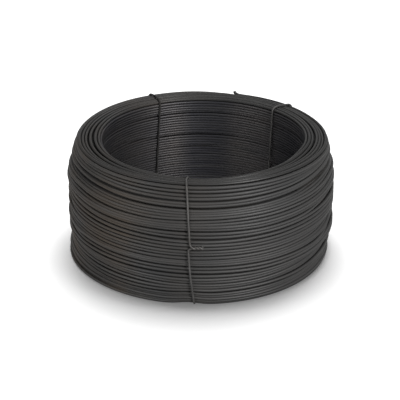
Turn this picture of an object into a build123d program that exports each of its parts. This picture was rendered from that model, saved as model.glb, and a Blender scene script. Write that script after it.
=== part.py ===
"""A tied coil of round steel wire rod, standing on one end, with its bore upright.

Millimetres, +Z up, origin on the floor at the middle of the bore.
The coil is one turned solid. Its turns show as ridges on both ends, and lie in bundles on the
outer wall and the bore wall, with a lane between each two. Three wire ties wrap its section
like tight belts, each closed by a twisted pigtail on the outside.
"""
import math
import os

from build123d import *

# Driving dimensions of the coil
wire_diameter = 5.5
bore_diameter = 356.0
winding_depth = 57.0
coil_height = 212.0
turns_per_ridge = 3
lane_depth = 3.4
bore_lanes = 8
rim_setback = 16.0
foot_setback = 8.0
foot_lift = 3.5
slack_turn_lift = 0.4

# Driving dimensions of the ties
tie_diameter = 3.2
tie_clearance = 0.3
tie_bend_degrees = 60.0
pigtail_length = 18.0
pigtail_runs = 1
pigtail_turn_degrees = 110.0
cut_overrun = 10.0

# The loose end of the rod, turned up at the rim
end_run = 7.0
end_bend_degrees = 30.0
end_angle_degrees = 68.5

# Where each tie stands round the coil, and how far it leans
front_tie_angle_degrees = 265.6
front_tie_lean_degrees = 2.4
left_tie_angle_degrees = 115.7
left_tie_lean_degrees = 2.5
right_tie_angle_degrees = 44.2
right_tie_lean_degrees = 1.5

# Shares of the sizes that they follow
turn_relief_share = 0.2  # of the spacing of the ridges on an end: depth between two ridges
foot_land_share = 0.25  # of that spacing: the flat that a ridge stands on
knot_height_share = 0.5  # of the coil's height
strand_offset_share = 0.85  # of a strand's radius: how far each strand lies from the pigtail's axis
bearing_shares = (0.2, 0.8)  # of the ridges on the foot: those that stand on the floor

# The bundles of the outer wall: share of the height, then depth as a share of the wire diameter
bundle_shares = (
    (0.17, 0.6),
    (0.305, 0.0),
    (0.44, 0.15),
    (0.575, 0.1),
    (0.71, 0.0),
    (0.85, 0.9),
)

tie_places = {
    "tie_front": (front_tie_angle_degrees, front_tie_lean_degrees),
    "tie_back_left": (left_tie_angle_degrees, left_tie_lean_degrees),
    "tie_back_right": (right_tie_angle_degrees, right_tie_lean_degrees),
}

bore_radius = bore_diameter / 2
outside_radius = bore_radius + winding_depth
wire_radius = wire_diameter / 2
tie_radius = tie_diameter / 2
rim_radius = outside_radius - rim_setback
foot_radius = outside_radius - foot_setback
belly_radius = outside_radius - foot_setback + foot_lift
seat_depth = tie_diameter + 2 * tie_clearance
foot_turn_height = seat_depth + wire_radius


def ridges_between(inner, outer):
    """How many ridges fit side by side, and the spacing that fills the width."""
    count = math.ceil((outer - inner) / (turns_per_ridge * wire_diameter))
    return count, (outer - inner) / count


def foot_outline():
    """Bottom end, from the bore outwards: ridges of turns, flat where they bear."""
    count, spacing = ridges_between(bore_radius, foot_radius)
    relief = turn_relief_share * spacing
    half_land = foot_land_share * spacing / 2
    bearing = [int(share * count) for share in bearing_shares]
    points = [(bore_radius, relief)]
    for ridge in range(count):
        middle = bore_radius + (ridge + 0.5) * spacing
        if ridge in bearing:
            points += [(middle - half_land, 0), (middle + half_land, 0)]
        else:
            points += [(middle, slack_turn_lift)]
        points += [(middle + spacing / 2, relief)]
    return points


def bundles():
    """Where the bundles of the outer wall stand out furthest, from the belly over the foot up."""
    above = [(outside_radius - depth * wire_diameter, share * coil_height) for share, depth in bundle_shares]
    return [(belly_radius, foot_turn_height)] + above


def wall_outline():
    """Outer wall, upwards to the rim: bundles of turns, and a lane cut halfway between each two."""
    crests = bundles() + rim_outline()[:1]
    points = []
    for below, above in zip(crests, crests[1:]):
        lane = ((below[0] + above[0]) / 2 - lane_depth, (below[1] + above[1]) / 2)
        points += [below, lane]
    return points


def rim_outline():
    """Top end, from the rim inwards to the bore: ridges of turns."""
    count, spacing = ridges_between(bore_radius, rim_radius)
    valley = coil_height - turn_relief_share * spacing
    points = [(rim_radius, valley)]
    for ridge in range(count):
        outer = rim_radius - ridge * spacing
        points += [(outer - spacing / 2, coil_height), (outer - spacing, valley)]
    return points


def bore_outline():
    """Bore wall, downwards: lanes cut outwards, and a bundle halfway between each two."""
    spacing = coil_height / bore_lanes
    points = []
    for lane in range(bore_lanes):
        height = coil_height - (lane + 0.5) * spacing
        points += [(bore_radius + lane_depth, height), (bore_radius, height - spacing / 2)]
    return points[:-1]


def wire_end():
    """The rod's loose end: it leaves the outermost top turn along its tangent and bends upwards."""
    points = [Vector(0, 0, 0)]
    for bend in range(3):
        slope = bend * math.radians(end_bend_degrees)
        points.append(points[-1] + Vector(math.cos(slope), math.sin(slope), 0) * end_run)
    path = Polyline(*points)
    section = Plane(origin=points[0], z_dir=points[1]) * Circle(wire_radius)
    upright = Plane(
        origin=(rim_radius - wire_radius, 0, coil_height - wire_radius), x_dir=(0, 1, 0), z_dir=(1, 0, 0)
    )
    return Rot(0, 0, end_angle_degrees) * upright.location * sweep(section, path, transition=Transition.RIGHT)


def tie_frame(angle, lean):
    """The tie's own frame: X out along the radius, Z up, leaning sideways about the radius."""
    return Rot(0, 0, angle) * Pos(0, 0, coil_height / 2) * Rot(lean, 0, 0) * Pos(0, 0, -coil_height / 2)


def tie_seat(angle, lean):
    """The slot across the bottom turns that lets a tie lie clear of the floor, eased at the bore."""
    inside = bore_radius - cut_overrun
    outside = belly_radius + cut_overrun
    outline = Polyline(
        (inside, -cut_overrun),
        (outside, -cut_overrun),
        (outside, seat_depth),
        (bore_radius + wire_radius, seat_depth),
        (bore_radius, foot_turn_height),
        (inside, foot_turn_height),
        close=True,
    )
    slot = extrude(Plane.XZ * make_face(outline), tie_radius + tie_clearance, both=True)
    return tie_frame(angle, lean) * slot


def coil():
    outline = Polyline(*foot_outline(), *wall_outline(), *rim_outline(), *bore_outline(), close=True)
    turned = revolve(Plane.XZ * make_face(outline), Axis.Z)
    turned += wire_end()
    for angle, lean in tie_places.values():
        turned -= tie_seat(angle, lean)
    return turned


def belt_corners():
    """Centres of the wires that a tie bends round, from the bore's foot outwards and up."""
    crests = [(radius - wire_radius, height) for radius, height in bundles()]
    widest = max(radius for radius, height in crests)
    touched = [crest for crest in crests if crest[0] >= widest]
    shoulder = [crest for crest in crests if crest[1] > touched[-1][1]]
    inner = bore_radius + wire_radius
    top = coil_height - wire_radius
    rim = (rim_radius - wire_radius, top)
    return [(inner, foot_turn_height), crests[0], touched[0], touched[-1], *shoulder, rim, (inner, top)]


def outward(start, end):
    """The angle of the outward normal of a side of the belt's polygon, which runs anticlockwise."""
    return math.atan2(start[0] - end[0], end[1] - start[1])


def belt_points(reach):
    """A tight belt that keeps this reach from every corner wire, each bend made of small mitred turns."""
    corners = belt_corners()
    points = []
    for before, here, after in zip(corners[-1:] + corners, corners, corners[1:] + corners[:1]):
        start = outward(before, here)
        turn = (outward(here, after) - start) % (2 * math.pi)
        steps = max(1, round(math.degrees(turn) / tie_bend_degrees))
        far = reach / math.cos(turn / steps / 2)
        for step in range(steps):
            angle = start + turn * (step + 0.5) / steps
            points.append((here[0] + far * math.cos(angle), 0, here[1] + far * math.sin(angle)))
    return points


def pigtail():
    """Two strands of the tie twisted round each other, lying sideways on the outside of the coil."""
    start = Vector(strand_offset_share * tie_radius, 0, 0)
    run = Vector(0, 0, pigtail_length / pigtail_runs)
    strand_points = [
        start.rotate(Axis.Z, step * pigtail_turn_degrees) + run * step for step in range(pigtail_runs + 1)
    ]
    path = Polyline(*strand_points)
    section = Plane(origin=path @ 0, z_dir=path % 0) * Circle(tie_radius)
    strand = sweep(section, path, transition=Transition.RIGHT)
    axis = Plane(
        origin=(outside_radius + tie_clearance + tie_diameter, 0, knot_height_share * coil_height),
        x_dir=(1, 0, 0),
        z_dir=(0, 1, 0),
    )
    return axis.location * (strand + Rot(0, 0, 180) * strand)


def tie():
    points = belt_points(wire_radius + tie_clearance + tie_radius)
    middle = (Vector(points[0]) + Vector(points[-1])) / 2
    path = Polyline(middle, *points, middle)
    section = Plane(origin=middle, z_dir=Vector(points[0]) - middle) * Circle(tie_radius)
    return sweep(section, path, transition=Transition.RIGHT) + pigtail()


os.makedirs("parts", exist_ok=True)
export_step(coil(), "parts/wire_coil.step")
loop = tie()
for name, (angle, lean) in tie_places.items():
    export_step(tie_frame(angle, lean) * loop, f"parts/{name}.step")
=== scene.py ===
# %% [markdown]
# # A tied coil of wire rod
# A coil of rod is one long steel wire, laid turn beside turn and held by three soft wire ties.
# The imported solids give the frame: a turned ring and three belts, all at their real size.
# This lesson lays the wire itself over that ring, because light catches each turn on its own
# and the dark gaps between turns are what make a coil look wound and not cast.

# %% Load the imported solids
import math

import bpy
import numpy as np
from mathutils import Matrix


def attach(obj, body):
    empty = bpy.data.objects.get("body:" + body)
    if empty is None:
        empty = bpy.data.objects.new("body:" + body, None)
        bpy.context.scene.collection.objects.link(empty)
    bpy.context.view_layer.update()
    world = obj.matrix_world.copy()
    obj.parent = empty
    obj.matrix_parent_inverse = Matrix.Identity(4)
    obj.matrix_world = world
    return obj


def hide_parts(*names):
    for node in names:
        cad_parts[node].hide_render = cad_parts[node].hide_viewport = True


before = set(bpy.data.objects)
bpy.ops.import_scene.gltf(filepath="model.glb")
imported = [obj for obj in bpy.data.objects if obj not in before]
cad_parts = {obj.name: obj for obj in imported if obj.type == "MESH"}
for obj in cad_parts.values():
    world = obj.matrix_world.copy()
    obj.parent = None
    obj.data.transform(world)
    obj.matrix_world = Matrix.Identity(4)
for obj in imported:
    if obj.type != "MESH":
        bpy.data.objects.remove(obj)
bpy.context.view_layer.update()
mm = 0.001

# %% [markdown]
# ## The camera
# The photograph looks down at the coil by about a quarter of a right angle, from some way off, so
# the far wall of the bore shows over the near rim. One angle and a distance give the place of the
# eye. A long lens keeps the near and far turns at nearly one scale.

# %% Camera
eye_height_angle = math.radians(24.16)
eye_distance = 2.82
lens_length = 144.1
frame_shift = (0.0009, -0.022)
aim_point = np.array([0.0, 0.0, 104 * mm])
camera_data = bpy.data.cameras.new("camera")
camera_data.lens = lens_length
camera_data.shift_x, camera_data.shift_y = frame_shift
camera = bpy.data.objects.new("camera", camera_data)
camera.location = aim_point + eye_distance * np.array(
    [0.0, -math.cos(eye_height_angle), math.sin(eye_height_angle)]
)
camera.rotation_euler = (math.pi / 2 - eye_height_angle, 0.0, 0.0)
bpy.context.scene.collection.objects.link(camera)
bpy.context.scene.camera = camera
print("camera at", np.round(camera.location, 3).tolist())

# %% [markdown]
# ## From a grid of points to a mesh
# Every piece here is a grid: rows run along the wire, columns run round it. Blender can sweep a
# curve with a bevel, but then it picks the rings itself. With our own grid we know where each
# ring lies, and can write the length along the wire into a UV map for the finish to read.

# %% Faces of a grid
def grid_corners(rows, columns, wrap_rows, wrap_columns):
    """Corners of each face, as rows and as columns: (r, c), (r, c + 1), (r + 1, c + 1), (r + 1, c)."""
    row, column = np.meshgrid(
        np.arange(rows - (not wrap_rows)), np.arange(columns - (not wrap_columns)), indexing="ij"
    )
    row, column = row.ravel(), column.ravel()
    corner_rows = np.stack([row, row, row + 1, row + 1], axis=1)
    corner_columns = np.stack([column, column + 1, column + 1, column], axis=1)
    return corner_rows, corner_columns


print("a grid of 3 x 4 points has", len(grid_corners(3, 4, False, False)[0]), "faces")

# %% Arrays into a mesh
along_map = "along"


def filled_mesh(name, points, loops, starts, smooth, uv):
    """A mesh from whole arrays: points, the corners of all faces in a row, and where each face starts."""
    mesh = bpy.data.meshes.new(name)
    mesh.vertices.add(len(points))
    mesh.vertices.foreach_set("co", np.ascontiguousarray(points, dtype=np.float32).ravel())
    mesh.loops.add(len(loops))
    mesh.loops.foreach_set("vertex_index", loops.astype(np.int32))
    mesh.polygons.add(len(starts))
    mesh.polygons.foreach_set("loop_start", starts.astype(np.int32))
    mesh.polygons.foreach_set("use_smooth", smooth)
    mesh.uv_layers.new(name=along_map).data.foreach_set("uv", uv.astype(np.float32).ravel())
    mesh.update(calc_edges=True)
    mesh.validate()
    return mesh


print("each mesh gets the UV map", along_map)

# %% Grid to piece
def grid_piece(name, grid, along, wrap_rows=False, wrap_columns=True, cut_ends=False):
    """Four neighbours of the grid make a face, wrapping where the grid closes on itself.

    The UV map holds the length along the rows in metres and the share of a turn round.
    Cut ends close the first and last ring with one flat face each.
    """
    rows, columns = grid.shape[:2]
    corner_rows, corner_columns = grid_corners(rows, columns, wrap_rows, wrap_columns)
    loops = ((corner_rows % rows) * columns + corner_columns % columns).ravel()
    uv = np.stack([along[corner_rows % rows], corner_columns / columns], axis=2).reshape(-1, 2)
    starts = np.arange(len(corner_rows)) * 4
    smooth = np.ones(len(starts), dtype=bool)
    if cut_ends:
        ring = np.arange(columns)
        starts = np.append(starts, [len(loops), len(loops) + columns])
        smooth = np.append(smooth, [False, False])
        loops = np.concatenate([loops, ring[::-1], ring + (rows - 1) * columns])
        ends = np.repeat([along[0], along[-1]], columns)
        uv = np.concatenate([uv, np.stack([ends, np.tile(ring / columns, 2)], axis=1)])
    piece = bpy.data.objects.new(name, filled_mesh(name, grid.reshape(-1, 3), loops, starts, smooth, uv))
    bpy.context.scene.collection.objects.link(piece)
    print(f"{name}: {rows} x {columns} points, {len(starts)} faces")
    return piece


print("rows run along a piece, columns run round it")

# %% [markdown]
# ## The floor
# The coil stands on a white sheet that runs out of view on all sides. One wide flat grid does for
# it, a hair below the coil, so that the two never share a face. It is part of the stage and not of
# the coil.

# %% Floor
floor_half_width = 14.0
floor_points = 29
floor_drop = 0.05 * mm
u, v = np.meshgrid(np.linspace(-1, 1, floor_points), np.linspace(-1, 1, floor_points), indexing="ij")
floor_grid = np.stack([floor_half_width * u, floor_half_width * v, np.full_like(u, -floor_drop)], axis=2)
floor = grid_piece("floor", floor_grid, u[:, 0], wrap_columns=False)
floor.data.flip_normals()

# %% [markdown]
# ## Adding shader nodes with less typing
# A material is a tree of nodes joined by links. Written out, each node takes several lines, so a
# helper makes a node, sets it up and fills its inputs, each with a link or with a fixed value. Two
# more helpers stand for the two sums that come up most: a product and a change of range.

# %% Node helpers
def add_node(tree, kind, inputs=(), **settings):
    """A new node of this kind. An input takes a link where a socket is given, or else a fixed value."""
    node = tree.nodes.new("ShaderNode" + kind)
    for name, value in settings.items():
        setattr(node, name, value)
    for socket, source in dict(inputs).items():
        if isinstance(source, bpy.types.NodeSocket):
            tree.links.new(source, node.inputs[socket])
        else:
            node.inputs[socket].default_value = source
    return node


def product(tree, first, second):
    """The first value times the second."""
    return add_node(tree, "Math", {0: first, 1: second}, operation="MULTIPLY").outputs[0]


def new_range(tree, value, start, end, low=0.0, high=1.0):
    """A value from start to end becomes one from low to high in proportion, and stops at both."""
    inputs = {"Value": value, "From Min": start, "From Max": end, "To Min": low, "To Max": high}
    return add_node(tree, "MapRange", inputs).outputs["Result"]


print("node helpers:", add_node.__name__, product.__name__, new_range.__name__)

# %% [markdown]
# ## What the eye sees as white
# A Light Path node tells a ray from the eye, or from a mirror, apart from the rays that carry light to
# the coil. Where it says eye, the floor and the sky are lifted towards white, and the coil is not
# lit any more strongly for it.

# %% Seen by the eye
eye_rays = ["Is Camera Ray", "Is Glossy Ray", "Is Transmission Ray"]


def seen_by_eye(tree):
    """One for rays from the camera, from gloss or through glass, and zero for all others.

    The three flags are the sides of a box, and the length of its diagonal is the answer.
    """
    rays = add_node(tree, "LightPath")
    flags = add_node(tree, "CombineXYZ", {axis: rays.outputs[ray] for axis, ray in enumerate(eye_rays)})
    return add_node(tree, "VectorMath", {0: flags.outputs[0]}, operation="LENGTH").outputs["Value"]


print("rays that see white:", eye_rays)

# %% [markdown]
# ## Floor paint
# Near the coil the sheet keeps its shadow, and far away it melts into the white behind it. So the
# lift towards white grows with the distance from the coil. A plain white floor would need so much
# light that the shadow washed out.

# %% Floor finish
pale = (0.8, 0.8, 0.8, 1.0)
floor_roughness, floor_gloss = 0.9, 0.1
lift_starts, lift_ends = 0.8, 3.0
near_lift, far_lift = 0.21, 1.0
floor_paint = bpy.data.materials.new("pale_floor")
floor_paint.use_nodes = True
floor_tree = floor_paint.node_tree
paint = floor_tree.nodes["Principled BSDF"]
paint.inputs["Base Color"].default_value = pale
paint.inputs["Emission Color"].default_value = pale
paint.inputs["Roughness"].default_value = floor_roughness
paint.inputs["Specular IOR Level"].default_value = floor_gloss
floor_spot = add_node(floor_tree, "TexCoord").outputs["Object"]
from_coil = add_node(floor_tree, "VectorMath", {0: floor_spot}, operation="LENGTH").outputs["Value"]
lift = new_range(floor_tree, from_coil, lift_starts, lift_ends, near_lift, far_lift)
floor_tree.links.new(product(floor_tree, seen_by_eye(floor_tree), lift), paint.inputs["Emission Strength"])
floor.data.materials.append(floor_paint)
print("floor lifted by", near_lift, "near the coil and by", far_lift, "far away")

# %% [markdown]
# ## Lamps
# In the photograph a soft shadow lies under the coil and in front of it. That calls for one wide lamp
# high above and a little behind, which shines on the floor alone. The lamps that shape the coil leave
# the floor out, or their shadows would cross it. Blender calls this light linking. A tall narrow
# lamp at the right draws the bright band down the wall, a broad one at the left fills the shade, and a
# small one at the back shows the rim.

# %% Light linking
floor_only = bpy.data.collections.new("floor_only")
floor_only.objects.link(floor)
not_floor = bpy.data.collections.new("not_floor")
not_floor.objects.link(floor)
not_floor.collection_objects[0].light_linking.link_state = "EXCLUDE"
print("light groups:", floor_only.name, not_floor.name)

# %% Lamps
def soft_lamp(name, place, width, tall, power, shines_on):
    """A flat lamp of this width and height, at a place in metres, that faces the middle of the coil."""
    lamp_data = bpy.data.lights.new(name, "AREA")
    lamp_data.shape = "RECTANGLE"
    lamp_data.size = width
    lamp_data.size_y = tall
    lamp_data.energy = power
    lamp = bpy.data.objects.new(name, lamp_data)
    lamp.location = place
    away = np.array(place) - aim_point
    lamp.rotation_euler = (
        math.acos(away[2] / np.linalg.norm(away)), 0.0, math.atan2(away[1], away[0]) + math.pi / 2
    )
    lamp.light_linking.receiver_collection = shines_on
    bpy.context.scene.collection.objects.link(lamp)


soft_lamp("right_lamp", (1.85, -2.32, 1.6), width=0.5, tall=2.8, power=132.0, shines_on=not_floor)
soft_lamp("left_lamp", (-3.2, -2.3, 1.2), width=1.4, tall=2.6, power=54.0, shines_on=not_floor)
soft_lamp("high_lamp", (0.1, 0.9, 1.2), width=0.8, tall=0.8, power=6.0, shines_on=not_floor)
soft_lamp("floor_lamp", (0.13, 0.74, 3.0), width=1.9, tall=1.9, power=150.0, shines_on=floor_only)
print("lamps:", [lamp.name for lamp in bpy.data.lights])

# %% [markdown]
# ## Sky
# A faint even light from all round keeps the shaded side from going black. The eye sees that sky as
# plain white, by the same test as on the floor.

# %% Sky
sky_light, sky_seen = 0.12, 1.0
sky = bpy.data.worlds.new("sky")
bpy.context.scene.world = sky
sky.use_nodes = True
sky_tree = sky.node_tree
backdrop = sky_tree.nodes["Background"]
backdrop.inputs["Color"].default_value = (1.0, 1.0, 1.0, 1.0)
sky_level = new_range(sky_tree, seen_by_eye(sky_tree), 0.0, 1.0, sky_light, sky_seen)
sky_tree.links.new(sky_level, backdrop.inputs["Strength"])
bpy.context.scene.view_settings.view_transform = "Standard"
print("sky lights by", sky_light, "and is seen as", sky_seen)

# %% [markdown]
# ## The section that the wire is wound to
# Cut the coil in half and the cut face is a tall, rounded block: a straight bore wall, a bulging
# outer wall, a sloping shoulder at the top and a flat foot. The middles of the outermost wires lie on
# the outline of that block. We give a few corners, walk round them in even steps and
# blur the walk, which rounds the corners the way a springy wire does.

# %% Even steps and a blur
def even_walk(corners, count):
    """Walk once round the closed corners in equal steps: length so far against each coordinate."""
    closed = np.vstack([corners, corners[:1]])
    length = np.concatenate([[0.0], np.cumsum(np.linalg.norm(np.diff(closed, axis=0), axis=1))])
    stops = np.arange(count) * length[-1] / count
    return np.stack([np.interp(stops, length, closed[:, axis]) for axis in range(2)], axis=1)


def round_blur(line, spread):
    """Gaussian blur of a closed line of numbers, done as a product with its Fourier spectrum."""
    waves = np.fft.rfftfreq(len(line))
    keep = np.exp(-2 * (math.pi * waves * spread) ** 2)
    keep = keep.reshape((-1,) + (1,) * (line.ndim - 1))
    return np.fft.irfft(np.fft.rfft(line, axis=0) * keep, len(line), axis=0)


print("a single peak, blurred:", np.round(round_blur(np.eye(7)[3], 1.0), 2).tolist())

# %% Outline of the winding
wire_radius = 2.75 * mm
outline_points = 2000
corner_blur = 9.0
outline_corners = mm * np.array([
    (216.2, 209.6), (220.0, 202.0), (223.3, 191.0), (227.4, 174.0), (230.2, 157.0), (231.0, 141.0),
    (230.0, 119.0), (230.6, 100.0), (229.8, 78.0), (230.8, 55.0), (227.0, 27.0), (228.8, 9.0),
    (228.0, 2.75), (183.3, 2.75), (180.2, 6.0), (180.2, 206.0), (183.5, 209.6),
])
rounded = round_blur(even_walk(outline_corners, outline_points), corner_blur)
outline = even_walk(rounded, outline_points)
outline_step = np.linalg.norm(np.roll(outline, -1, axis=0) - outline, axis=1).mean()
outline_length = outline_step * len(outline)
heading = np.roll(outline, -1, axis=0) - np.roll(outline, 1, axis=0)
heading /= np.linalg.norm(heading, axis=1, keepdims=True)
outline_out = np.stack([-heading[:, 1], heading[:, 0]], axis=1)
print(f"outline {outline_length / mm:.1f} mm, widest {outline[:, 0].max() / mm:.1f} mm")

# %% [markdown]
# ## Dark lanes
# The turns lie in bundles, and between two bundles runs a dark lane that can be followed round the
# coil. Each lane is a short list of stations: angle round the coil, height and depth, in degrees and
# millimetres. Between stations the lane runs straight. The lanes come first, because the wire is then
# laid so that a gap falls on each of them.

# %% Lanes on the outer wall
lane_stations = [
    [(30, 190, 0.6), (195, 192.5, 4.4), (207, 191.5, 5.4), (226, 190, 4.6), (240, 188.5, 2.8),
     (262, 188, 2.0), (285, 188, 2.2), (310, 190.5, 1.0), (330, 195, 0.8), (345, 199, 0.6)],
    [(30, 177, 1.2), (195, 181, 5.0), (207, 180.5, 5.6), (222, 179, 5.0), (245, 176.5, 2.4),
     (270, 175.5, 2.6), (290, 176, 2.0), (310, 178.5, 3.4), (320, 181, 5.4), (330, 184, 6.0),
     (345, 189, 6.0)],
    [(30, 159, 1.4), (184, 154, 2.6), (194, 157, 5.2), (206, 159.5, 5.4), (230, 155.5, 3.2),
     (250, 154.5, 1.0), (268, 157, 1.6), (300, 158, 1.4), (325, 160.5, 3.0), (342, 164, 5.0)],
    [(30, 138, 1.2), (192, 142, 1.6), (215, 137, 2.6), (240, 135.5, 1.8), (270, 136, 2.2),
     (295, 133.5, 1.2), (315, 135, 2.2), (330, 138, 4.6), (345, 141, 5.4)],
    [(30, 124, 0.4), (192, 130, 0.4), (222, 126, 0.6), (245, 123, 1.0), (262, 121.5, 1.8),
     (285, 120.5, 1.6), (305, 121, 0.8), (340, 125, 0.6)],
    [(30, 112, 0.8), (192, 118.5, 5.0), (201, 115.5, 3.4), (222, 112.5, 1.5), (250, 110.5, 1.0),
     (270, 109.5, 0.8), (300, 108.5, 0.6), (340, 112, 0.8)],
    [(30, 88, 0.8), (196, 90, 1.4), (210, 88.5, 1.6), (225, 86.5, 1.2), (245, 86, 0.6),
     (270, 86, 0.6), (300, 85, 0.6), (330, 87, 0.8), (346, 94, 0.8)],
    [(30, 74, 2.2), (190, 75, 6.0), (203, 73, 4.4), (212, 75, 3.4), (222, 74, 3.6), (245, 73, 1.8),
     (270, 72, 2.6), (300, 70, 2.0), (325, 71, 2.4), (337, 74, 4.0), (346, 81, 5.4)],
    [(60, 60, 0.6), (206, 61, 1.6), (222, 60, 2.4), (245, 60, 1.8), (272, 59.5, 1.8),
     (295, 58, 1.0), (325, 60, 0.6), (346, 67, 0.5)],
    [(60, 43, 0.6), (204, 46, 1.4), (216, 44, 1.8), (236, 43, 1.2), (262, 40.5, 0.8),
     (290, 40, 0.8), (305, 42, 1.0), (330, 48, 1.2), (346, 53, 1.4)],
    [(40, 26, 1.2), (198, 29, 1.8), (210, 27, 1.8), (225, 24, 1.6), (240, 23.5, 1.0),
     (262, 24.5, 1.6), (285, 24.5, 1.6), (315, 25.5, 1.4), (330, 29, 1.4), (346, 32, 0.8)],
    [(60, 12, 0.8), (195, 15, 2.6), (207, 11, 1.8), (230, 10, 1.6), (262, 9.5, 1.6),
     (290, 9, 1.6), (310, 11, 1.4), (338, 15, 2.2)],
]
deepest = max(station[2] for lane in lane_stations for station in lane)
print(len(lane_stations), "lanes, deepest", deepest, "mm")

# %% Reading stations
def at_angle(angle, stations):
    """Both values of a list of stations at these angles, straight between stations, in metres."""
    degrees, first, second = np.array(sorted(stations)).T
    turned = np.degrees(angle)
    return tuple(mm * np.interp(turned, degrees, line, period=360.0) for line in (first, second))


front = math.radians(270)
front_heights = [float(at_angle(front, stations)[0]) for stations in lane_stations]
print("lane heights at the front:", np.round(np.array(front_heights) / mm, 1).tolist())

# %% [markdown]
# ## How many turns lie between two lanes
# Along the outline, two lanes are a certain length apart. Take off their gaps and one wire width,
# divide by the wire width and round: that gives the turns of the bundle. Where the lanes draw
# together, the turns of a bundle nest closer, and where the lanes part, the turns open a little.

# %% Turns in each bundle
wire_width = 2 * wire_radius
foot_height = 3.6 * mm
wall_end = int(np.argmax(outline[:, 1] < foot_height))
wall_steps = np.arange(wall_end, -1, -1)


def wall_place(height):
    """Length along the outline, from the rim down the outer wall, at this height."""
    return np.interp(height, outline[wall_steps, 1], outline_step * wall_steps)


front_angles = np.radians(np.arange(190, 351, 5))
front_places = [wall_place(at_angle(front_angles, stations)[0]).mean() for stations in lane_stations]
top_bundle, turns_below = 4, 2
mean_gap = 1.0 * mm
round_up = 0.65
turns_above = [top_bundle]
for upper, lower in zip(front_places, front_places[1:]):
    turns_between = int((lower - upper - wire_width - mean_gap) / wire_width + round_up)
    turns_above.append(turns_above[-1] + 1 + turns_between)
wall_turns = turns_above[-1] + turns_below
print("turns in the bundles:", np.diff([0] + turns_above).tolist())

# %% [markdown]
# ## The pitch of the turns that follow
# After the outer wall the wire goes on over the foot, up the bore and over the top end. There it
# moves on by a pitch that changes with the way the outline faces: close in the bore, looser on the
# foot and on top. On top one wider gap runs right round, between the inner and the outer rings.

# %% Pitch on the foot, in the bore and on top
def zero_to_one(values):
    """Values below zero become zero, and values above one become one."""
    return np.clip(values, 0, 1)


def bell(distance, reach):
    """Bell curve, one in the middle: e to the minus square of the distance over the reach."""
    return np.exp(-((distance / reach) ** 2))


bore_pitch, foot_pitch, top_pitch = 4.8 * mm, 5.6 * mm, 5.5 * mm
ring_gap, ring_gap_radius, ring_gap_reach = 3.4 * mm, 194 * mm, 2.6 * mm
rest_radius = outline[wall_end:, 0]
rest_out_r, rest_out_z = outline_out[wall_end:].T
rest_pitch = bore_pitch * zero_to_one(-rest_out_r) + foot_pitch * zero_to_one(-rest_out_z)
rest_pitch = np.clip(rest_pitch + top_pitch * zero_to_one(rest_out_z), bore_pitch, foot_pitch)
rest_pitch += ring_gap * zero_to_one(rest_out_z) * bell(rest_radius - ring_gap_radius, ring_gap_reach)
turn_count = wall_turns + int(round(float(np.sum(outline_step / rest_pitch))))
print(turn_count, "turns,", wall_turns, "of them on the outer wall")

# %% [markdown]
# ## One wire, counted in turns
# The whole winding is one path, so each of its points has a number: how many turns it is from the
# start. The angle round the coil follows from that number alone. Chance comes in as smooth random
# lines along the wire, always from the same seed, so that every run lays the same coil.

# %% Smooth luck along the wire
turn_steps = 168
full_turn = 2 * math.pi
loose_end_angle = math.radians(68.5)
turn = np.arange(turn_count * turn_steps + 1) / turn_steps
angle = loose_end_angle + full_turn * turn
luck_seed = 20
luck = np.random.default_rng(luck_seed)


def wander(spread_turns):
    """Smooth random line along the whole wire: blurred noise, scaled to a spread of one."""
    line = round_blur(luck.standard_normal(len(turn)), spread_turns * turn_steps)
    return (line - line.mean()) / line.std()


print(len(turn), "points along the wire")

# %% [markdown]
# ## Laying the wire on the outer wall
# Round the coil the wire keeps its level, and at the back it steps down to the next turn, as a spooler
# lays it. So each point of the wire has a level: a whole number, except in the short stretch where it
# steps. The turns on both sides of a lane are held apart by a gap that is wider where the lane is
# deeper. All other turns share out the room between the held ones.

# %% Levels of the turns
step_share = 0.07
stepped = zero_to_one((turn + step_share) % 1 / (2 * step_share))
wire_level = np.maximum(np.floor(turn + step_share) - 1 + stepped ** 2 * (3 - 2 * stepped), 0)
print("levels from", wire_level[0], "to", wire_level[-1])

# %% Turns held by the lanes
gap_share = 0.8
widest_gap = 4.4 * mm
gap_over_line = -1.7 * mm
rest_start = wall_end * outline_step
held_levels, held_places = [0], [wire_width * (turn % 1)]
for turns, stations in zip(turns_above, lane_stations):
    lane_height, lane_depth = at_angle(angle, stations)
    half = wire_radius + np.minimum(gap_share * lane_depth, widest_gap) / 2
    gap_place = wall_place(lane_height + gap_over_line)
    held_levels += [turns - 1, turns]
    held_places += [gap_place - half, gap_place + half]
held_levels = np.array(held_levels + [wall_turns - 1])
held_places = np.array(held_places + [np.full(len(turn), rest_start)])
print(len(held_levels), "of", wall_turns, "levels are held in place")

# %% Place of the turns on the outer wall
bend_steps = 2.0
held_places = round_blur(held_places[:, :-1].T, bend_steps)
held_places = np.vstack([held_places, held_places[-1:]]).T
after = np.clip(np.searchsorted(held_levels, wire_level, side="right"), 1, len(held_levels) - 1)
before = after - 1
share = (wire_level - held_levels[before]) / (held_levels[after] - held_levels[before])
point = np.arange(len(turn))
wall_line = held_places[before, point] * (1 - share) + held_places[after, point] * share
print(f"outer wall: {wall_line.min() / mm:.1f} to {wall_line.max() / mm:.1f} mm along the outline")

# %% [markdown]
# ## Laying the wire on the foot, in the bore and on top
# Here the wire moves on steadily by the pitch worked out above. The pitch depends on the place, and
# the place on the pitch, so a few rounds of adding up settle both. A slow drift then keeps
# the rows from looking ruled. It is weaker in the bore and on the foot, where the turns lie tight.

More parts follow.
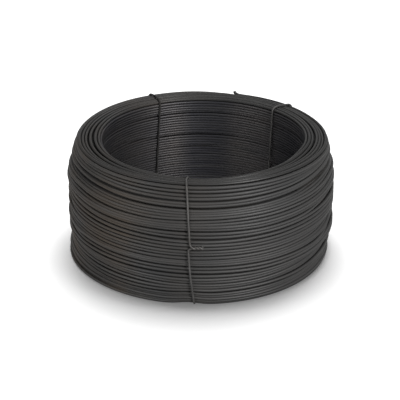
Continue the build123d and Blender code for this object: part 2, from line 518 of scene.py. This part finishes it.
# %% Place of the turns on the foot, in the bore and on top
pace_rounds = 4
on_wall = turn <= wall_turns - 1 + step_share
rest_turns = turn[~on_wall] - turn[on_wall][-1]
rest_length = outline_length - rest_start
rest_line = rest_start + rest_turns / rest_turns[-1] * rest_length
for pace_round in range(pace_rounds):
    pace = np.interp(rest_line, outline_step * np.arange(wall_end, len(outline)), rest_pitch)
    trip = np.cumsum(pace)
    rest_line = rest_start + trip / trip[-1] * rest_length
place = np.concatenate([wall_line[on_wall], rest_line])
print(f"{turn_count} turns laid, last place {place[-1] / mm:.1f} of {outline_length / mm:.1f} mm")

# %% Drift along the outline
drift_size, drift_turns = 0.3 * mm, 0.4
tight_drift = 0.3


def at_place(place, values):
    """Read values that are given round the outline at any length along it."""
    return np.interp(place, np.arange(len(outline)) * outline_step, values, period=outline_length)


drift = drift_size * wander(drift_turns) * zero_to_one(turn) * zero_to_one(turn_count - turn)
loose = zero_to_one(at_place(place, outline_out[:, 0]) + at_place(place, outline_out[:, 1]))
place = place + drift * (tight_drift + (1 - tight_drift) * loose)
place[0], place[-1] = 0.0, outline_length
print(f"drift up to {np.abs(drift).max() / mm:.2f} mm")

# %% [markdown]
# ## Slips and swells
# No turn lies exactly on the outline. Single turns slip in and out, now and then one sinks right in,
# and whole bundles swell and sink together. Each of these is a small step along the outline's
# outward direction. On the foot the turns only step inwards, because the floor holds them.

# %% Slips of single turns
radius, height = at_place(place, outline[:, 0]), at_place(place, outline[:, 1])
out_r, out_z = at_place(place, outline_out[:, 0]), at_place(place, outline_out[:, 1])
outer, bore = zero_to_one(out_r), zero_to_one(-out_r)
top, foot = zero_to_one(out_z), zero_to_one(-out_z)
short_slip, short_turns = 0.4 * mm, 0.1
long_slip, long_turns = 0.5 * mm, 0.35
sunk_slip, sunk_turns, sunk_from, sunk_most = 1.8 * mm, 0.2, 0.9, 1.2
top_play, bore_play, foot_play = 0.9, 0.2, 0.3
slip = short_slip * wander(short_turns) + long_slip * wander(long_turns)
slip = slip - sunk_slip * np.clip(wander(sunk_turns) - sunk_from, 0, sunk_most)
slip = slip * (outer + top_play * top + bore_play * bore + foot_play * foot)
print(f"slips from {slip.min() / mm:.2f} to {slip.max() / mm:.2f} mm")

# %% Swells of the bundles
wall_swell, top_swell, bore_swell = 0.45 * mm, 0.9 * mm, 0.3 * mm
swells = [(13, 0, 0.5, 0.4), (19, 1, 0.55, 2.1), (24, -1, 0.5, 4.4), (29, 2, 0.35, 1.2), (9, -1, 0.4, 5.2)]
swell = sum(
    size * np.cos(full_turn * count * place / outline_length + lobes * angle + phase)
    for count, lobes, size, phase in swells
)
step_out = (wall_swell * outer + top_swell * top + bore_swell * bore) * swell + slip - foot * np.abs(slip)
print(f"swells and slips from {step_out.min() / mm:.2f} to {step_out.max() / mm:.2f} mm")

# %% [markdown]
# ## Sunk turns beside the lanes and in the bore
# A gap looks dark only when the turns beside it lie back in shade. So the turns near a lane sink by
# its depth. Under a deep lane the sunk turns lie lower, and the bundle above overhangs them like
# a ledge. The bore has four long grooves of the same kind, which read as dark bands on its far wall.

# %% Turns that sink beside the lanes
sink_reach = 4.8 * mm
ledge_slope, ledge_from, widest_ledge = 1.2, 2.4 * mm, 1.4 * wire_radius
for stations in lane_stations:
    lane_height, lane_depth = at_angle(angle, stations)
    ledge = np.clip(ledge_slope * (lane_depth - ledge_from), 0, widest_ledge)
    off_gap = height - lane_height - gap_over_line + ledge
    step_out -= outer * lane_depth * bell(off_gap, sink_reach)
print(f"steps off the outline from {step_out.min() / mm:.2f} to {step_out.max() / mm:.2f} mm")

# %% Grooves in the bore
groove_reach = 2.8 * mm
groove_stations = [
    [(0, 181, 1.5), (50, 181, 2.6), (80, 183, 2.8), (120, 183, 2.8), (140, 182.5, 1.8), (240, 183, 1.5)],
    [(0, 138, 1.5), (60, 138, 2.6), (85, 141, 3.2), (112, 142, 3.4), (125, 145, 2.8), (140, 149, 2.4),
     (240, 145, 1.5)],
    [(0, 113, 1.0), (50, 114, 2.0), (75, 120, 2.4), (90, 116.5, 3.0), (100, 117, 2.4), (112, 118, 0.8),
     (122, 120, 1.8), (140, 119, 1.8), (240, 116, 1.0)],
    [(0, 104, 0.6), (55, 109, 2.0), (80, 113, 1.2), (100, 100, 0.6), (240, 98, 1.0)],
]
for stations in groove_stations:
    groove_height, groove_depth = at_angle(angle, stations)
    step_out -= bore * groove_depth * bell(height - groove_height, groove_reach)
print(len(groove_stations), "grooves in the bore")

# %% [markdown]
# ## The sides of the coil
# Seen from the front, the left and the right edge of the coil are the outlines that the eye reads
# first. Bundles bulge and draw in there by a few millimetres. Each bump is a bell over the height, kept
# to one side of the coil by a power of a cosine.

# %% Bumps on the sides
side_power = 5
side_bumps = [
    (0, 200, 6, -1.6), (0, 187, 8, -2.0), (0, 172, 8, -2.6), (0, 152, 6, -1.0), (0, 122, 7, 1.6),
    (352, 90, 6, -4.6), (355, 63, 9, 4.6), (347, 44, 10, -6.0), (352, 21, 7, -3.4), (30, 203, 8, -1.8),
    (180, 206, 12, -4.6), (180, 173, 10, -2.6), (180, 150, 12, 1.8), (189, 129, 6, -3.6),
    (180, 112, 6, -0.8), (186, 99, 6, -3.0), (190, 50, 6, -4.6), (184, 32, 9, -4.4), (222, 12, 14, -4.8),
]
for degrees, bump_height, bump_reach, size in side_bumps:
    on_side = np.clip(np.cos(angle - math.radians(degrees)), 0, None) ** side_power
    step_out += mm * size * outer * on_side * bell(height - mm * bump_height, mm * bump_reach)
radius = radius + step_out * out_r
height = height + step_out * out_z
print(f"winding reaches {(radius.max() + wire_radius) / mm:.1f} mm from the axis")

# %% [markdown]
# ## The two edges of the top end
# The top end isn't flat. Where the bore begins, its lip dips at the front and leans in at the sides, and
# the outer rim sags at the back on the right. Both are stations again: angle, millimetres inwards and
# millimetres upwards. They fade out below the top and across the ring.

# %% Upper edge of the bore
top_height = 212 * mm
lip_reach, lip_outer, lip_width = 26 * mm, 200 * mm, 20 * mm
lip_stations = [
    (10, 0, 0), (150, 0, 0), (180, 3.9, 0), (198, 4.4, 0), (225, 2.4, 0), (243, 0.8, -0.6), (262, 0, -4.0),
    (270, 0, -4.6), (285, 0, -4.0), (297, 0, -2.6), (310, 0.4, -1.9), (322, 1.5, 0), (330, 2.3, 1.0),
    (338, 2.6, 1.8), (350, 1.2, 1.0),
]
near_lip = bell(height - top_height, lip_reach) * zero_to_one((lip_outer - radius) / lip_width)
lip_in, lip_up = at_angle(angle, lip_stations)
radius = radius - lip_in * near_lip
height = height + lip_up * near_lip
print(f"lip: up to {lip_in.max() / mm:.1f} mm in, {lip_up.min() / mm:.1f} to {lip_up.max() / mm:.1f} mm up")

# %% Outer edge of the rim
rim_reach, rim_inner, rim_width = 18 * mm, 198 * mm, 14 * mm
rim_stations = [
    (345, 0, 0), (0, 1.4, -1.2), (15, 2.2, -2.5), (26, 2.5, -2.9), (40, 2.2, -2.4), (60, 1.6, -1.6),
    (72, 1.4, -1.5), (80, 0, 0),
]
near_rim = bell(height - top_height, rim_reach) * zero_to_one((radius - rim_inner) / rim_width)
rim_in, rim_up = at_angle(angle, rim_stations)
radius = radius - rim_in * near_rim
height = height + rim_up * near_rim
print(f"rim: up to {rim_in.max() / mm:.1f} mm in and {-rim_up.min() / mm:.1f} mm down")

# %% [markdown]
# ## Humps, lean and the start of the wire
# A coil stands on its lowest turns, so where a tie passes under it these arch up and leave room. A
# tied coil also leans: each level is shifted a little sideways, and its foot is pushed forward. The
# wire's first end dives under the turn beside it, so that no cut end shows on the rim.

# %% Humps over the ties
tie_angles = {"tie_front": 265.6, "tie_back_left": 115.7, "tie_back_right": 44.2}
tie_lift = 3.9 * mm
hump_reach, hump_fade = 24 * mm, 42 * mm
for degrees in tie_angles.values():
    off = (angle - math.radians(degrees) + math.pi) % full_turn - math.pi
    hump = bell(radius * off, hump_reach)
    height += tie_lift * hump * zero_to_one(1 - (height - wire_radius) / hump_fade)
print(len(tie_angles), "humps,", tie_lift / mm, "mm high at most")

# %% Lean of the coil
lean_stations = mm * np.array([
    (0, -2.2), (22, -1.4), (50, 2.0), (70, 1.8), (110, 2.0), (165, 2.4), (212, 3.0),
])
inner_lean, inner_starts, inner_width = 2.6 * mm, 231 * mm, 50 * mm
foot_forward, forward_height = 2.4 * mm, 60 * mm
coil_radius, coil_spare = 235 * mm, 0.1 * mm
lean = np.interp(height, *lean_stations.T) + inner_lean * zero_to_one((inner_starts - radius) / inner_width)
x = radius * np.cos(angle) + lean
y = radius * np.sin(angle) - foot_forward * zero_to_one(1 - height / forward_height)
shrink = np.minimum(1.0, (coil_radius - wire_radius - coil_spare) / np.hypot(x, y))
print(f"lean from {lean.min() / mm:.1f} to {lean.max() / mm:.1f} mm")

# %% Path of the wire
dive_depth, dive_turns = 6.5 * mm, 0.09
dive = dive_depth * zero_to_one(1 - turn / dive_turns) ** 2
wire_path = np.stack([x * shrink, y * shrink, np.maximum(height, wire_radius) - dive], axis=1)
print(f"wire path: {len(wire_path)} points, {wire_path[:, 2].max() / mm:.1f} mm high")

# %% [markdown]
# ## A round profile carried along a path
# A wire is a circle carried along its path. At each point of the path two directions across the wire
# are needed. One comes from a guide that is never along the wire, such as straight out from
# the axis, and the other is square to both. That keeps the rings from twisting.

# %% Wire along a path
level_only, upright = np.array([1.0, 1.0, 0.0]), np.array([0.0, 0.0, 1.0])


def wire_rings(path, guide, thickness, sides):
    """Ring point = path point + radius x (cosine x guide + sine x third direction).

    The guide is made square to the path first, and the third direction is path cross guide.
    """
    forward = np.gradient(path, axis=0)
    forward /= np.linalg.norm(forward, axis=1, keepdims=True)
    guide = guide - forward * np.sum(guide * forward, axis=1, keepdims=True)
    guide = guide / np.linalg.norm(guide, axis=1, keepdims=True)
    third = np.cross(forward, guide)
    turn_round = full_turn * np.arange(sides) / sides
    across = np.cos(turn_round)[None, :, None] * guide[:, None, :]
    across = across + np.sin(turn_round)[None, :, None] * third[:, None, :]
    return path[:, None, :] + thickness * across


def length_along(path):
    """Running sum of the distances between neighbouring points."""
    return np.concatenate([[0.0], np.cumsum(np.linalg.norm(np.diff(path, axis=0), axis=1))])


def outwards(path):
    """Level direction from the axis of the coil to each point."""
    flat = path * level_only
    return flat / np.linalg.norm(flat, axis=1, keepdims=True)


print("wire length", round(float(length_along(wire_path)[-1]), 2), "m in the outer layer")

# %% [markdown]
# ## The rod's loose end
# At the back of the rim the last turn ends, and its tip springs up a little. The slope of that short
# piece grows from level to steep, and adding up the small steps along the slope gives the path.

# %% Loose end
end_length = 22 * mm
end_steps = 16
tip_slope, slope_power = math.radians(80), 4
slope = tip_slope * np.linspace(0, 1, end_steps + 1)[1:] ** slope_power
onward = wire_path[-1] - wire_path[-2]
onward = onward * level_only / np.linalg.norm(onward[:2])
end_ways = np.cos(slope)[:, None] * onward + np.sin(slope)[:, None] * upright
end_path = wire_path[-1] + np.cumsum(end_ways, axis=0) * end_length / end_steps
wire_path = np.vstack([wire_path, end_path])
tip_x, tip_y, tip_z = end_path[-1]
print(f"tip at {math.degrees(math.atan2(tip_y, tip_x)):.1f} degrees, {tip_z / mm:.1f} mm")

# %% [markdown]
# ## Cutting the winding into three pieces
# The outer wall, the bore and the top end each have their own finish, with painted shade in the
# darker colours of the bore and the top end, so the one wire is cut where the outline turns into the
# bore and out of it again. The second cut is moved on to the front, where the lip of the bore hides
# it. Each cut closes with a flat face.

# %% Outer turns, bore turns and top turns
wire_sides = 12
faces_bore, faces_top = -0.7, 0.1
first_bore_spot = int(np.argmax(outline_out[:, 0] < faces_bore))
first_top_spot = first_bore_spot + int(np.argmax(outline_out[first_bore_spot:, 1] > faces_top))
cut_places = outline_step * np.array([first_bore_spot, first_top_spot])
first_bore_step, first_top_step = np.searchsorted(place, cut_places)
seam_step = int((front - loose_end_angle) / full_turn * turn_steps)
first_top_step += (seam_step - first_top_step) % turn_steps
wire_length = length_along(wire_path)
rings = wire_rings(wire_path, outwards(wire_path), wire_radius, wire_sides)
stretches = {
    "outer_turns": slice(0, first_bore_step + 1),
    "bore_turns": slice(first_bore_step, first_top_step + 1),
    "top_turns": slice(first_top_step, None),
}
outer_turns, bore_turns, top_turns = [
    grid_piece(name, rings[stretch], wire_length[stretch], cut_ends=True)
    for name, stretch in stretches.items()
]

# %% [markdown]
# ## What lies behind the gaps
# Through an open gap the eye meets the next layer of wire, deep in shade. One more winding on
# a smaller outline is enough, with fewer points because it is hardly seen. Behind it a turned core
# closes the view, so that no light leaks through the coil.

# %% Second layer
layer_inset, layer_pitch = 2.1 * wire_radius, 2.02 * wire_radius
layer_floor = 8 * mm
layer_points, layer_steps, layer_sides = 1200, 96, 6


def inset_outline(depth):
    """Move each outline point inwards by the depth, then walk the result evenly."""
    return even_walk(outline - depth * outline_out, layer_points)


layer = inset_outline(layer_inset)
layer_length = np.linalg.norm(np.roll(layer, -1, axis=0) - layer, axis=1).sum()
layer_turns = int(layer_length / layer_pitch)
layer_turn = np.arange(layer_turns * layer_steps + 1) / layer_steps
layer_spots = np.arange(layer_points) / layer_points
layer_r, layer_z = [np.interp(layer_turn / layer_turns, layer_spots, line, period=1.0) for line in layer.T]
layer_x = layer_r * np.cos(full_turn * layer_turn) + np.interp(layer_z, *lean_stations.T)
layer_y = layer_r * np.sin(full_turn * layer_turn)
layer_path = np.stack([layer_x, layer_y, np.maximum(layer_z, layer_floor)], axis=1)
layer_rings = wire_rings(layer_path, outwards(layer_path), wire_radius, layer_sides)
second_layer = grid_piece("second_layer", layer_rings, length_along(layer_path), cut_ends=True)
print("second layer:", layer_turns, "turns")

# %% Heart
heart_inset = 3.7 * wire_radius
heart_floor = 9 * mm
heart_skip, heart_steps = 6, 144
heart_radius = 200 * mm
heart_r, heart_z = inset_outline(heart_inset)[::heart_skip].T
heart_angle = full_turn * np.arange(heart_steps) / heart_steps
heart_grid = np.stack([
    heart_r * np.cos(heart_angle)[:, None],
    heart_r * np.sin(heart_angle)[:, None],
    np.tile(np.maximum(heart_z, heart_floor), (heart_steps, 1)),
], axis=2)
heart = grid_piece("heart", heart_grid, heart_angle * heart_radius, wrap_rows=True)

# %% [markdown]
# ## The three ties
# Each tie is soft wire pulled tight round the section and twisted shut on the outside. Pulled tight,
# it touches only the turns that stand out furthest, like a string round a bundle. For a direction
# the furthest turn is the one with the greatest reach that way, so sweeping the direction once round
# gives the whole belt: arcs on the touched turns, and straight runs between them.

# %% Belt round the section
tie_radius = 1.6 * mm
tie_clearance = 0.15 * mm
belt_ways = 1441


def tight_belt(degrees):
    """For each direction: middle of the turn that reaches furthest + (wire + tie radius) x direction.

    The turns are those that pass this angle round the coil. Returns radius and height of the belt.
    """
    turned = (math.radians(degrees) - loose_end_angle) % full_turn
    step = int(round(turned / full_turn * turn_steps)) % turn_steps
    passing = wire_path[: turn_count * turn_steps].reshape(turn_count, turn_steps, 3)[:, step]
    middles = np.stack([np.hypot(passing[:, 0], passing[:, 1]), passing[:, 2]], axis=1)
    aim = np.linspace(-math.pi / 2, 3 * math.pi / 2, belt_ways)
    way = np.stack([np.cos(aim), np.sin(aim)], axis=1)
    furthest = np.argmax(way @ middles.T, axis=1)
    return middles[furthest] + (wire_radius + tie_radius + tie_clearance) * way


front_belt = tight_belt(tie_angles["tie_front"])
belt_low, belt_high = front_belt.min(axis=0) / mm, front_belt.max(axis=0) / mm
print("front belt", np.round(belt_low, 1), "to", np.round(belt_high, 1), "mm")

# %% [markdown]
# ## Round the coil from the knot
# The belt is a flat loop. A real tie wanders a few degrees on its way round, so its angle comes from
# stations: share of the way from the knot, then degrees. The loop stops short of the knot
# at both ends, to leave room for the twist.

# %% From the knot round to the knot
knot_height = 108.5 * mm
knot_room = 4 * mm
loop_points = 420


def belt_from_knot(belt):
    """The belt as a trip that starts and ends where its outside crosses the height of the knot."""
    on_outside = belt[:, 0] > belt[:, 0].mean()
    start = int(np.argmax(on_outside & (belt[:, 1] > knot_height)))
    share = (knot_height - belt[start - 1, 1]) / (belt[start, 1] - belt[start - 1, 1])
    knot = belt[start - 1] + share * (belt[start] - belt[start - 1])
    return np.vstack([knot, belt[start:], belt[:start], knot])


def belt_loop(trip, stations):
    """Radius and height along the trip, turned to the angle of the stations at each share of it."""
    length = length_along(trip)
    stops = np.linspace(knot_room, length[-1] - knot_room, loop_points)
    loop_r, loop_z = [np.interp(stops, length, line) for line in trip.T]
    turned = np.radians(np.interp(stops / length[-1], *np.array(stations).T))
    return np.stack([loop_r * np.cos(turned), loop_r * np.sin(turned), loop_z], axis=1)


print("front knot", np.round(belt_from_knot(front_belt)[0] / mm, 1), "mm from the axis and up")

# %% [markdown]
# ## Twisting a tie shut
# The two ends of the wire meet on the outside, lie down sideways and wind round each other. That is
# two helices on one axis, half a turn apart. The belt starts and ends at the knot, so one path
# runs from one cut tip through the twist, round the coil and back to the other tip.

# %% Twisted ends
twist_start, twist_length, twist_pitch = 2 * mm, 21 * mm, 13 * mm
twist_rise = 0.04
twist_sunk = 0.8 * mm
twist_points = 60


def twisted_ends(knot, side):
    """Axis point, plus or minus tie radius x (cosine x radial + sine x upright) of a growing angle.

    The axis runs sideways from the knot, rising a little. The two signs give the two strands.
    """
    radial = np.array([math.cos(side), math.sin(side), 0.0])
    sideways = np.array([-math.sin(side), math.cos(side), 0.0])
    run = np.linspace(twist_start, twist_length, twist_points)[:, None]
    wind = math.pi / 2 - full_turn * (run - twist_start) / twist_pitch
    middle = (knot[0] + tie_radius - twist_sunk) * radial + knot[1] * upright
    middle = middle + run * (sideways + twist_rise * upright)
    twist = tie_radius * (np.cos(wind) * radial + np.sin(wind) * upright)
    return middle + twist, middle - twist


print("ties are", 2 * tie_radius / mm, "mm wire, twisted over", twist_length / mm, "mm")

# %% Path of a tie
tie_spacing, tie_blur = 0.9 * mm, 1.9
blur_width = 4


def smooth_path(path):
    """Even steps along the path, then a Gaussian blur over the inside, with both ends held."""
    length = length_along(path)
    stops = np.linspace(0, length[-1], int(length[-1] / tie_spacing) + 1)
    even = np.stack([np.interp(stops, length, line) for line in path.T], axis=1)
    reach = int(blur_width * tie_blur)
    weight = np.exp(-0.5 * (np.arange(-reach, reach + 1) / tie_blur) ** 2)
    weight /= weight.sum()
    before_start = 2 * even[0] - even[reach:0:-1]
    after_end = 2 * even[-1] - even[-2:-reach - 2:-1]
    padded = np.vstack([before_start, even, after_end])
    return np.stack([np.convolve(line, weight, mode="valid") for line in padded.T], axis=1)


def tie_path(belt, stations):
    """Tip, helix, belt up over the top and round, second helix half a turn on, second tip."""
    trip = belt_from_knot(belt)
    first_end, second_end = twisted_ends(trip[0], math.radians(stations[0][1]))
    return smooth_path(np.vstack([first_end[::-1], belt_loop(trip, stations), second_end]))


print("ties have a ring every", tie_spacing / mm, "mm")

# %% [markdown]
# ## The ties as pieces
# The rings of a tie need a guide that is never along the wire. On the twist that is the way out from
# the axis. Round the section it is the way sideways, because there the wire itself
# runs outwards and inwards. The guide swings over smoothly from one to the other.

# %% Front, left and right tie
tie_sides = 12
swing_from, swing_length = 38 * mm, 30 * mm
tie_stations = {
    "tie_front": [(0, 266.2), (0.19, 264.8), (0.25, 263.8), (0.66, 265.4), (0.75, 268.4), (0.9, 266.2),
                  (1, 265.4)],
    "tie_back_left": [(0, 116.4), (0.19, 115.2), (0.25, 114.0), (0.66, 118.4), (0.75, 118.0), (1, 115.6)],
    "tie_back_right": [(0, 43.0), (0.19, 40.9), (0.25, 43.0), (0.66, 44.7), (0.75, 45.0), (1, 42.0)],
}
ties = {}
for name, stations in tie_stations.items():
    path = tie_path(tight_belt(tie_angles[name]), stations)
    length = length_along(path)
    to_end = np.minimum(length, length[-1] - length)
    swing = zero_to_one((to_end - swing_from) / swing_length)[:, None] * math.pi / 2
    guide = np.cos(swing) * outwards(path) + np.sin(swing) * np.cross(upright, outwards(path))
    tie_rings = wire_rings(path, guide, tie_radius, tie_sides)
    ties[name] = grid_piece(name + "_wire", tie_rings, length, cut_ends=True)
    print(name, f"{length[-1]:.3f} m of wire, lowest {(path[:, 2].min() - tie_radius) / mm:.2f} mm")

# %% [markdown]
# ## Streaks along the wire
# The rod cooled in air and wears a thin blue-black scale. It is streaked along its length where it ran
# through guides. The streaks are noise that is stretched along the wire. They read the UV map, and
# its share of a turn becomes a circle, so that no seam shows. Rod and ties both use them, so they
# are a node group, with its own values in each material.

# %% Start of a node group
def new_group(name, inputs, outputs):
    """An empty node group with these named sockets, with its input and output nodes."""
    group = bpy.data.node_groups.new(name, "ShaderNodeTree")
    for label, kind, start in inputs:
        socket = group.interface.new_socket(label, in_out="INPUT", socket_type=kind)
        if start is not None:
            socket.default_value = start
    for label, kind in outputs:
        group.interface.new_socket(label, in_out="OUTPUT", socket_type=kind)
    return group, group.nodes.new("NodeGroupInput"), group.nodes.new("NodeGroupOutput")


vector_socket, number_socket = "NodeSocketVector", "NodeSocketFloat"
print("groups take", vector_socket, "and", number_socket)

# %% Streaks
streaks, given, put = new_group(
    "drawn_streaks",
    [("Along", vector_socket, None), ("Stretch", number_socket, 14.0), ("Round", number_socket, 1.6)],
    [("Streak", number_socket)],
)
split = add_node(streaks, "SeparateXYZ", {0: given.outputs["Along"]})
round_angle = product(streaks, split.outputs["Y"], full_turn)
cosine = add_node(streaks, "Math", {0: round_angle}, operation="COSINE")
sine = add_node(streaks, "Math", {0: round_angle}, operation="SINE")
streak_spot = add_node(streaks, "CombineXYZ", {
    0: product(streaks, split.outputs["X"], given.outputs["Stretch"]),
    1: product(streaks, cosine.outputs[0], given.outputs["Round"]),
    2: product(streaks, sine.outputs[0], given.outputs["Round"]),
})
streak_noise = add_node(
    streaks, "TexNoise", {"Vector": streak_spot.outputs[0], "Scale": 1.0, "Detail": 2.0, "Roughness": 0.5}
)
streaks.links.new(streak_noise.outputs["Fac"], put.inputs["Streak"])
print(streaks.name, "nodes:", len(streaks.nodes))

# %% [markdown]
# ## Speckle and patches
# Scale flakes and weathers in patches about as wide as a hand, and has a fine grain that dulls its
# gloss. Both are noise on Object coordinates, one coarse and one fine. The coarse one is sharpened,
# because a patch has an edge.

# %% Speckle and patches
patch_range = (0.36, 0.66)
speckle, given, put = new_group(
    "scale_speckle",
    [("Point", vector_socket, None), ("Patch Size", number_socket, 9.0),
     ("Grain Size", number_socket, 700.0)],
    [("Patch", number_socket), ("Grain", number_socket)],
)


def speckle_noise(size, detail):
    """Noise at the given point, at one of the given sizes."""
    inputs = {"Vector": given.outputs["Point"], "Scale": given.outputs[size], "Detail": detail}
    return add_node(speckle, "TexNoise", inputs).outputs["Fac"]


patches = new_range(speckle, speckle_noise("Patch Size", 4.0), *patch_range)
speckle.links.new(patches, put.inputs["Patch"])
speckle.links.new(speckle_noise("Grain Size", 2.0), put.inputs["Grain"])
print(speckle.name, "nodes:", len(speckle.nodes))

# %% [markdown]
# ## Colour of the scale
# The scale is a cool dark grey with warmer, browner patches. Their strength grows with the distance
# along X from a chosen place. In the bore the darker cool colour holds across the middle of X, as
# painted shade. Where the wire was rubbed, the streaks lift the colour a little.

# %% Scale colour
rub_range = (0.42, 0.72)


def mixed_colour(tree, share, first, second):
    """First colour to second colour by the share."""
    return add_node(tree, "Mix", {0: share, 6: first, 7: second}, data_type="RGBA").outputs[2]


def scale_colour(tree, spot, patch, streak, cool, warm, bright, warm_from, rest_warm):
    """Cool to warm by patch x warmth of the place, then to bright by streak.

    The warmth grows from rest_warm to one with the distance along X from the first place of
    warm_from, between its two lengths.
    """
    middle, starts, ends = warm_from
    across = add_node(tree, "SeparateXYZ", {0: spot})
    offset = add_node(tree, "Math", {0: across.outputs["X"], 1: middle}, operation="SUBTRACT")
    distance = add_node(tree, "Math", {0: offset.outputs[0]}, operation="ABSOLUTE")
    warmth = product(tree, patch, new_range(tree, distance.outputs[0], starts, ends, rest_warm))
    tint = mixed_colour(tree, warmth, (*cool, 1.0), (*warm, 1.0))
    return mixed_colour(tree, new_range(tree, streak, *rub_range), tint, (*bright, 1.0))


print("streaks brighten the scale from", rub_range[0], "to", rub_range[1])

# %% [markdown]
# ## Steel finishes
# One function makes every finish from the two groups: colour, then gloss from grain and patch, then
# a shallow bump from grain and streak. What is the same all over the surface, such as the share of
# metal, is set on the shader itself. The rod is warmer on the left. The bore is glossier, and its
# darker, bluer colour, darkest across the middle of X, is painted shade. The top ring's darker colour
# is painted shade, and so is the near-black colour of the layers behind the gaps. Of the three ties
# the left one at the back is darker and duller than the other two.

# %% One steel finish
gloss_end = 0.6
scale_gloss, scale_tint = 0.08, (0.5, 0.5, 0.5, 1.0)
pit_depth = 0.4 * mm
left_side = (0.5, 0.47, 0.62)


def steel_finish(
    name, cool, warm, bright, dull, shiny, metal, stretch, bump, warm_from=left_side, rest_warm=1.0
):
    """Colour by patch and streak, roughness from shiny to dull by grain x patch, bump by grain + streak."""
    finish = bpy.data.materials.new(name)
    finish.use_nodes = True
    tree = finish.node_tree
    steel = tree.nodes["Principled BSDF"]
    spot = add_node(tree, "TexCoord").outputs["Object"]
    along = add_node(tree, "UVMap", uv_map=along_map).outputs["UV"]
    lines = add_node(tree, "Group", {"Along": along, "Stretch": stretch}, node_tree=streaks)
    spots = add_node(tree, "Group", {"Point": spot}, node_tree=speckle)
    streak, patch, grain = lines.outputs["Streak"], spots.outputs["Patch"], spots.outputs["Grain"]
    colour = scale_colour(tree, spot, patch, streak, cool, warm, bright, warm_from, rest_warm)
    roughness = new_range(tree, product(tree, grain, patch), 0.0, gloss_end, shiny, dull)
    relief = add_node(tree, "Math", {0: grain, 1: streak}, operation="ADD").outputs[0]
    pits = add_node(tree, "Bump", {"Height": relief, "Strength": bump, "Distance": pit_depth})
    tree.links.new(colour, steel.inputs["Base Color"])
    tree.links.new(roughness, steel.inputs["Roughness"])
    tree.links.new(pits.outputs["Normal"], steel.inputs["Normal"])
    steel.inputs["Metallic"].default_value = metal
    steel.inputs["Specular IOR Level"].default_value = scale_gloss
    steel.inputs["Specular Tint"].default_value = scale_tint
    print(name, "nodes:", len(tree.nodes))
    return finish


print("pits are at most", pit_depth / mm, "mm deep")

# %% Finishes of the rod
rod_finish = steel_finish(
    "blue_black_rod", cool=(0.043, 0.043, 0.043), warm=(0.064, 0.054, 0.045), bright=(0.064, 0.063, 0.062),
    dull=0.62, shiny=0.5, metal=0.58, stretch=9.0, bump=0.05, rest_warm=0.1,
)
# The bore's colour is darker and bluer than the rod's and darkest across the middle of X: painted shade on
# the far wall of the bore.
bore_finish_and_painted_shade = steel_finish(
    "bore_rod_painted_shade", cool=(0.029, 0.029, 0.033), warm=(0.052, 0.048, 0.047), bright=(0.050, 0.049, 0.050),
    dull=0.5, shiny=0.42, metal=0.9, stretch=9.0, bump=0.03, warm_from=(0.012, 0.025, 0.055), rest_warm=0.0,
)
# The top ring's colour is darker than the rod's: painted shade on the top end.
rim_finish_and_painted_shade = steel_finish(
    "rim_rod_painted_shade", cool=(0.031, 0.031, 0.031), warm=(0.042, 0.037, 0.033), bright=(0.046, 0.045, 0.044),
    dull=0.52, shiny=0.42, metal=0.7, stretch=9.0, bump=0.05, rest_warm=0.1,
)
# The second layer and the heart get a near-black copy of the rod's colour: painted shade.
shade_finish = steel_finish(
    "shaded_rod", cool=(0.012, 0.012, 0.012), warm=(0.016, 0.014, 0.012), bright=(0.03, 0.03, 0.03),
    dull=0.8, shiny=0.6, metal=0.1, stretch=9.0, bump=0.2,
)

# %% Finishes of the ties
tie_finish = steel_finish(
    "soft_tie_wire", cool=(0.050, 0.050, 0.051), warm=(0.06, 0.056, 0.052), bright=(0.11, 0.107, 0.104),
    dull=0.55, shiny=0.4, metal=0.4, stretch=40.0, bump=0.3,
)
dull_tie_finish = steel_finish(
    "dull_tie_wire", cool=(0.026, 0.026, 0.027), warm=(0.030, 0.028, 0.026), bright=(0.05, 0.048, 0.046),
    dull=0.7, shiny=0.55, metal=0.3, stretch=40.0, bump=0.3,
)

# %% [markdown]
# ## Joining the pieces to the frame
# Every piece rides on the one body, stands for the solid that it covers, which is hidden, and gets its
# finish.

# %% Ride, replace and finish
for piece, finish in [
    (outer_turns, rod_finish), (bore_turns, bore_finish_and_painted_shade), (top_turns, rim_finish_and_painted_shade),
    (second_layer, shade_finish), (heart, shade_finish),
]:
    piece.data.materials.append(finish)
    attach(piece, "root")
    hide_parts("wire_coil")
for name, piece in ties.items():
    piece.data.materials.append(dull_tie_finish if name == "tie_back_left" else tie_finish)
    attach(piece, "root")
    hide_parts(name)
